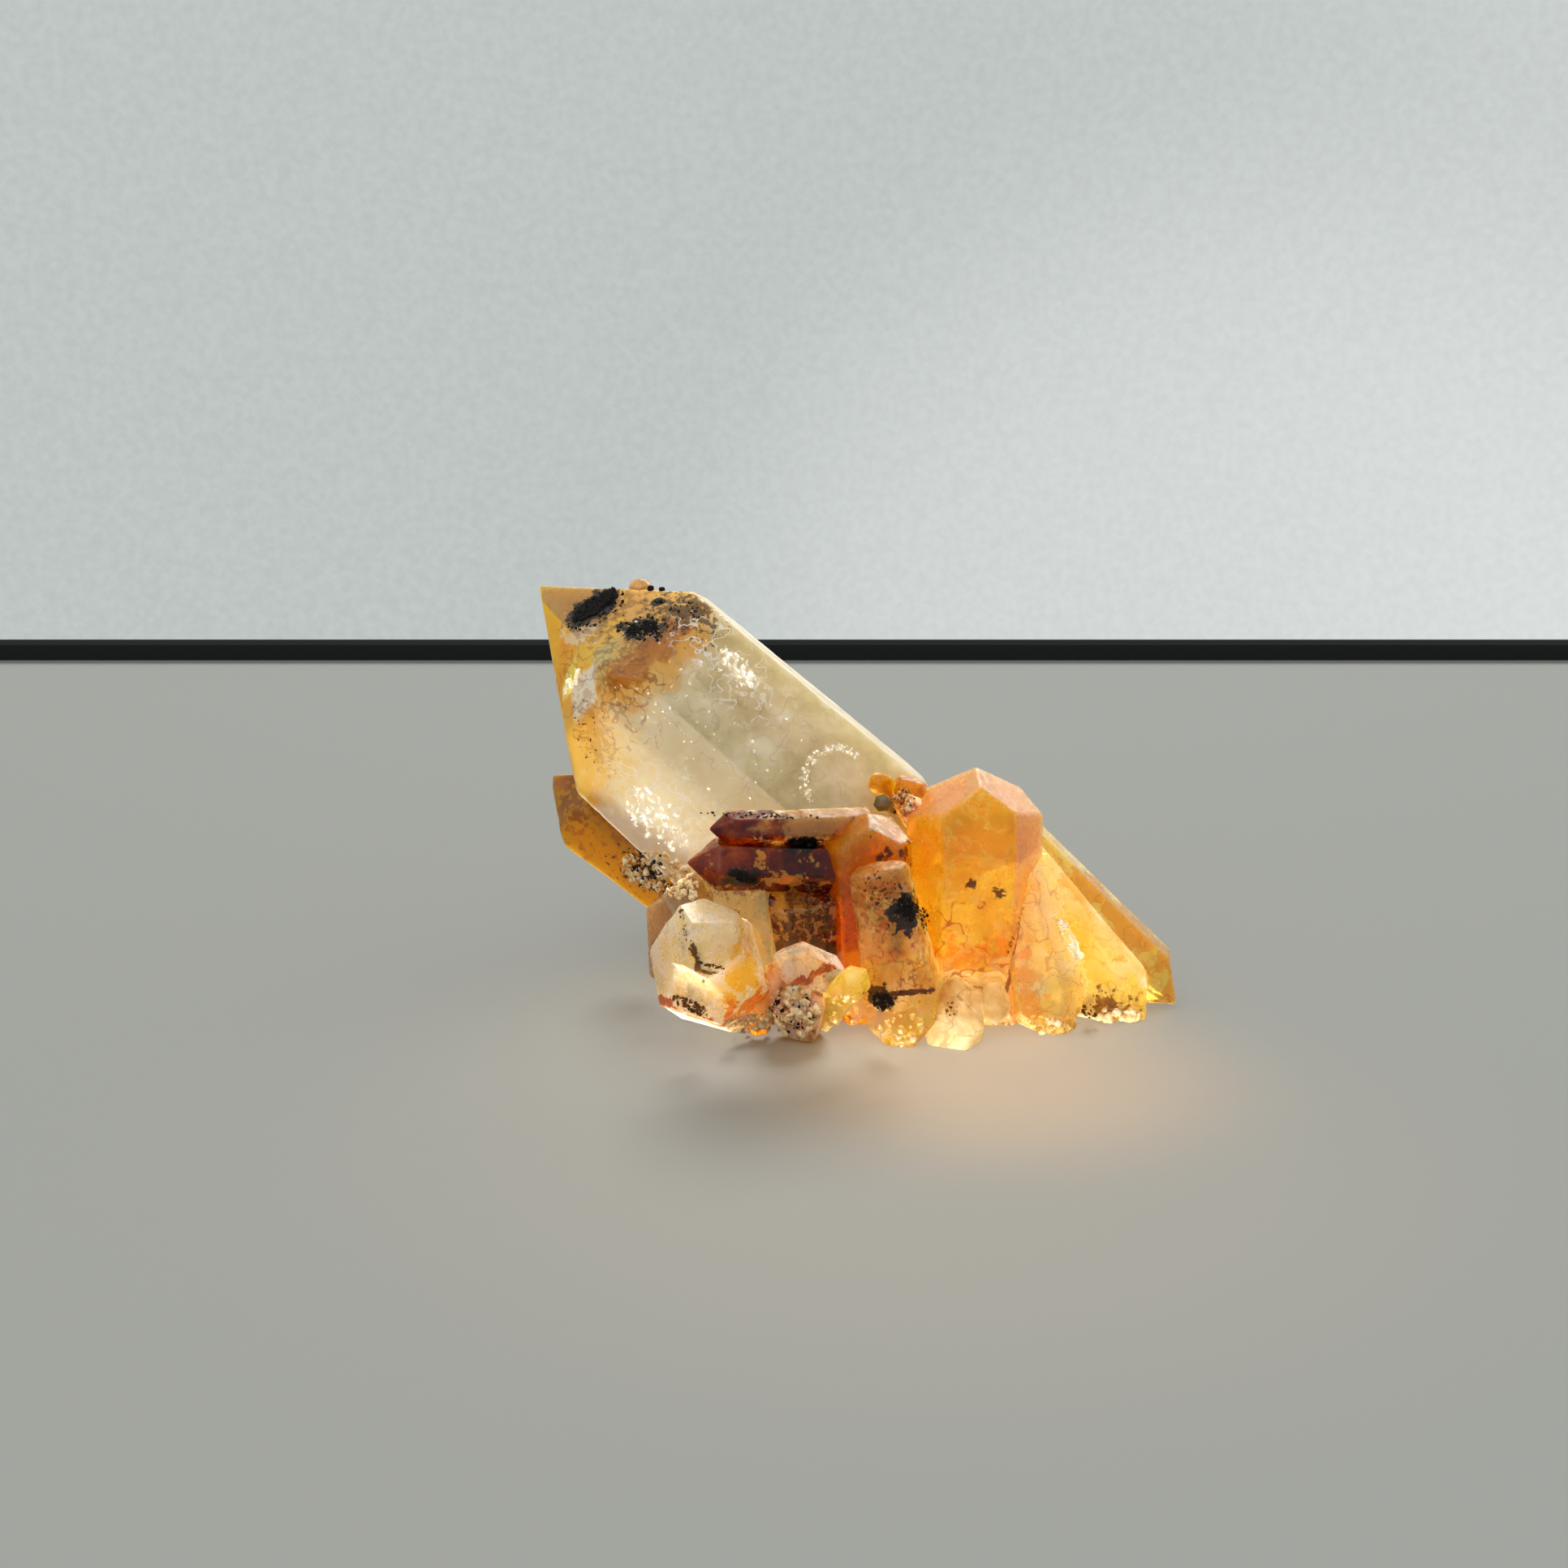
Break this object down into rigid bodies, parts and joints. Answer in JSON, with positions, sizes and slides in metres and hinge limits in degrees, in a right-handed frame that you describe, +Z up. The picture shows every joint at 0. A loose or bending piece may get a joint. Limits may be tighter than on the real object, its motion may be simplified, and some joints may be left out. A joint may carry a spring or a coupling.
{
  "type": "quartz crystal cluster",
  "caption": "Natural cluster of golden lithium quartz: a large clear crystal leans over stubby orange, yellow and dark red ones; a display specimen that rests on its foot.",
  "frame": {"origin": "middle of the box around the cluster, on the surface that it stands on", "axes": "+Z up; the front looks along -Y; +X runs to the right, from the leaning crystal's tip towards the yellow crystals that point down"},
  "size_m": [0.0675, 0.0434, 0.0434],
  "materials": {
    "quartz": "clear to cloudy natural crystal faces, glossy",
    "oxide": "dull black and rust-brown iron and manganese oxide film and grains",
    "crust": "cream etched crust, matt with glints"
  },
  "bodies": {
    "root": {"quartz_cluster": "quartz"}
  },
  "joints": []
}
